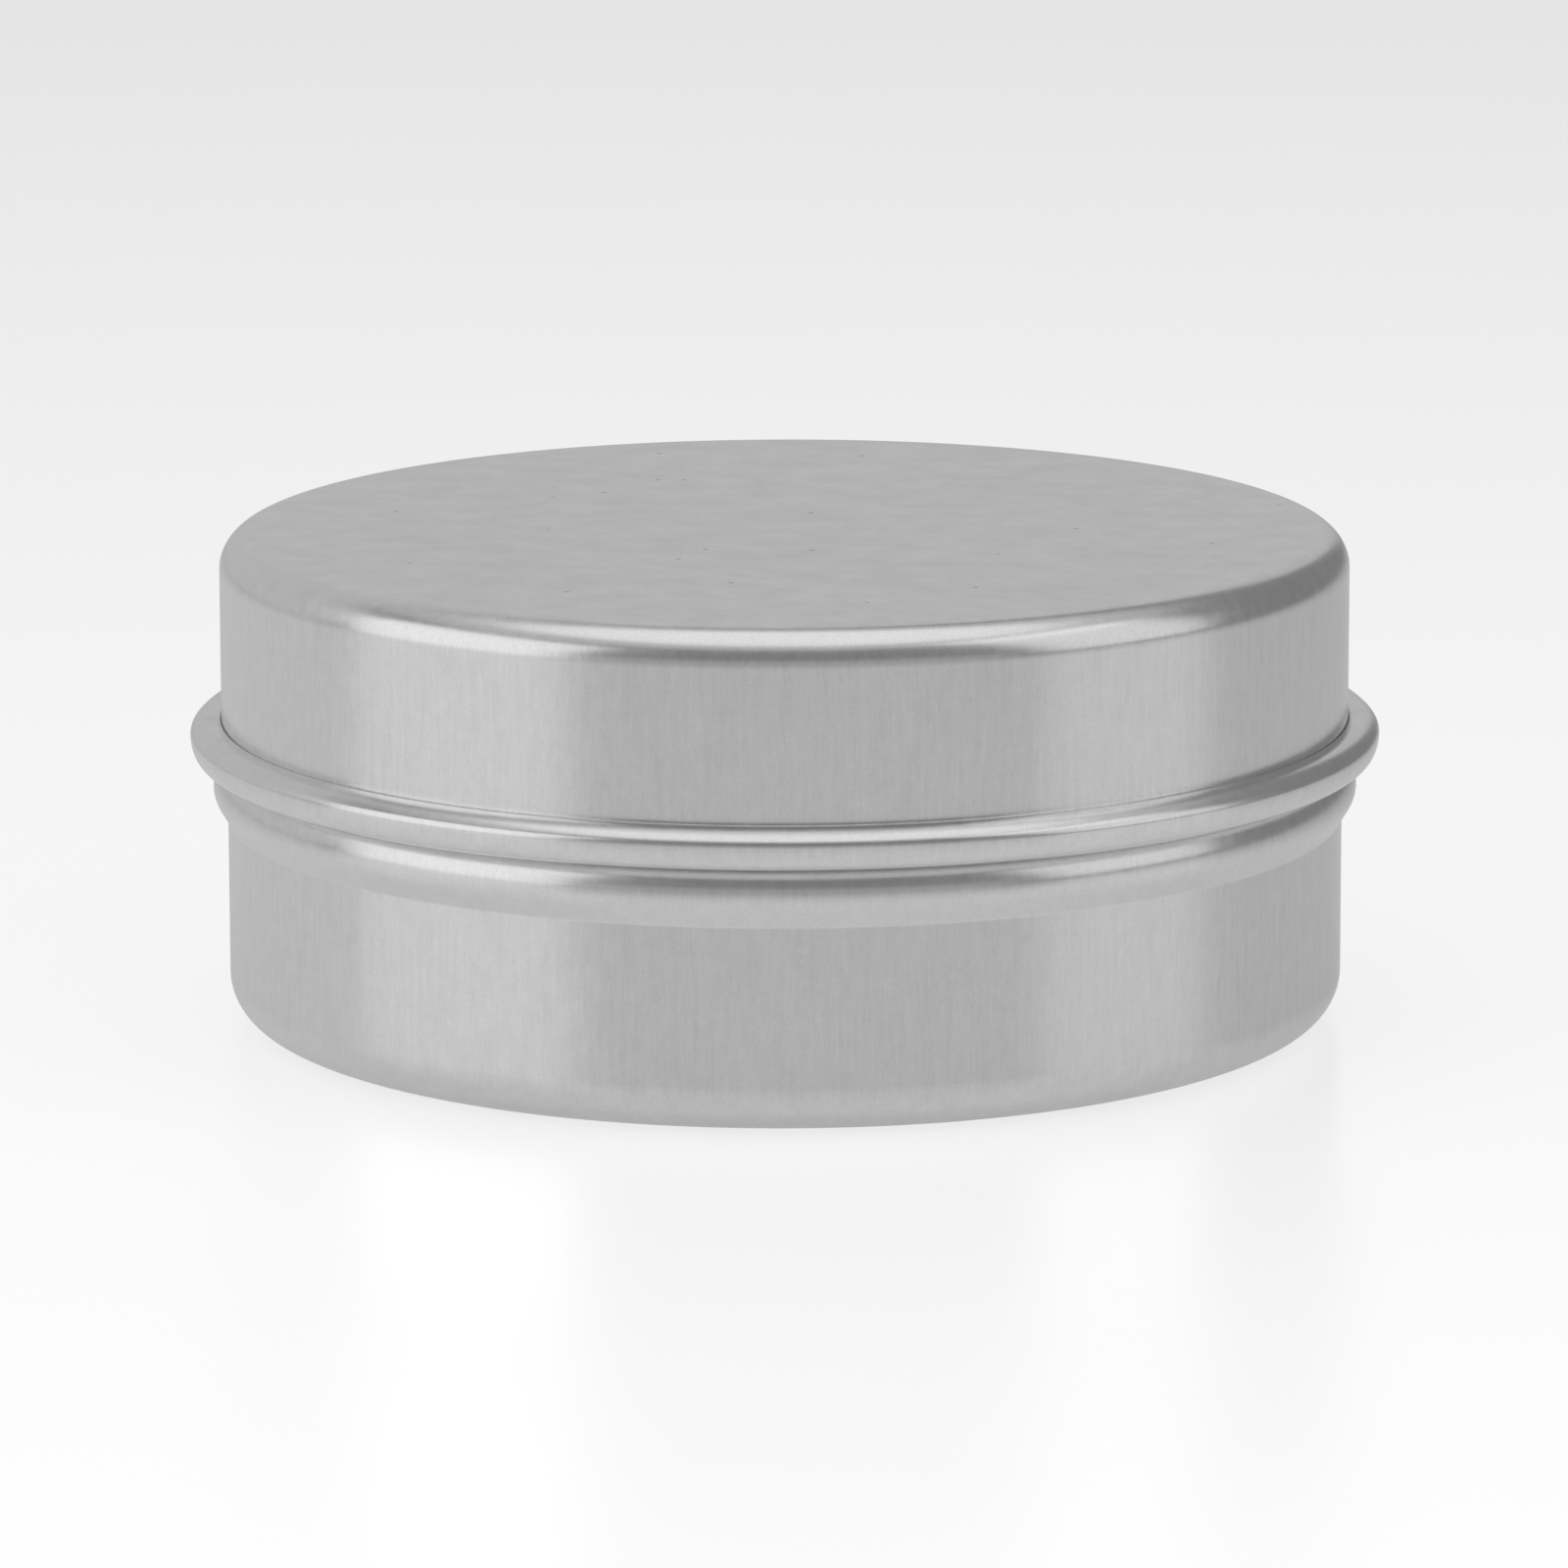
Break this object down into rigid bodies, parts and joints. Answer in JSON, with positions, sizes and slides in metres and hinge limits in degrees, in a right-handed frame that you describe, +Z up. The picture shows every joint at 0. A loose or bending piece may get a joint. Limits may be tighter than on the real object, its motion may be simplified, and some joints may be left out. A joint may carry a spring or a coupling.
{
  "type": "candle tin",
  "caption": "Round seamless aluminium slip-lid candle tin, with a rolled lid edge and a stop bead.",
  "frame": {"origin": "on the tin's axis, at the height of the surface it stands on", "axes": "+Z up along the axis, out through the lid; +X and +Y are arbitrary, because the tin is round"},
  "size_m": [0.0678, 0.0678, 0.028],
  "materials": {
    "lid_metal": "satin",
    "tin_metal": "satin"
  },
  "bodies": {
    "tin": {"tin_body": "tin_metal"},
    "cap": {"lid": "lid_metal"}
  },
  "joints": [
    {"name": "lid_lift", "type": "slide", "parent": "tin", "child": "cap", "axis": [0, 0, 1], "range_m": [0, 0.035]}
  ]
}
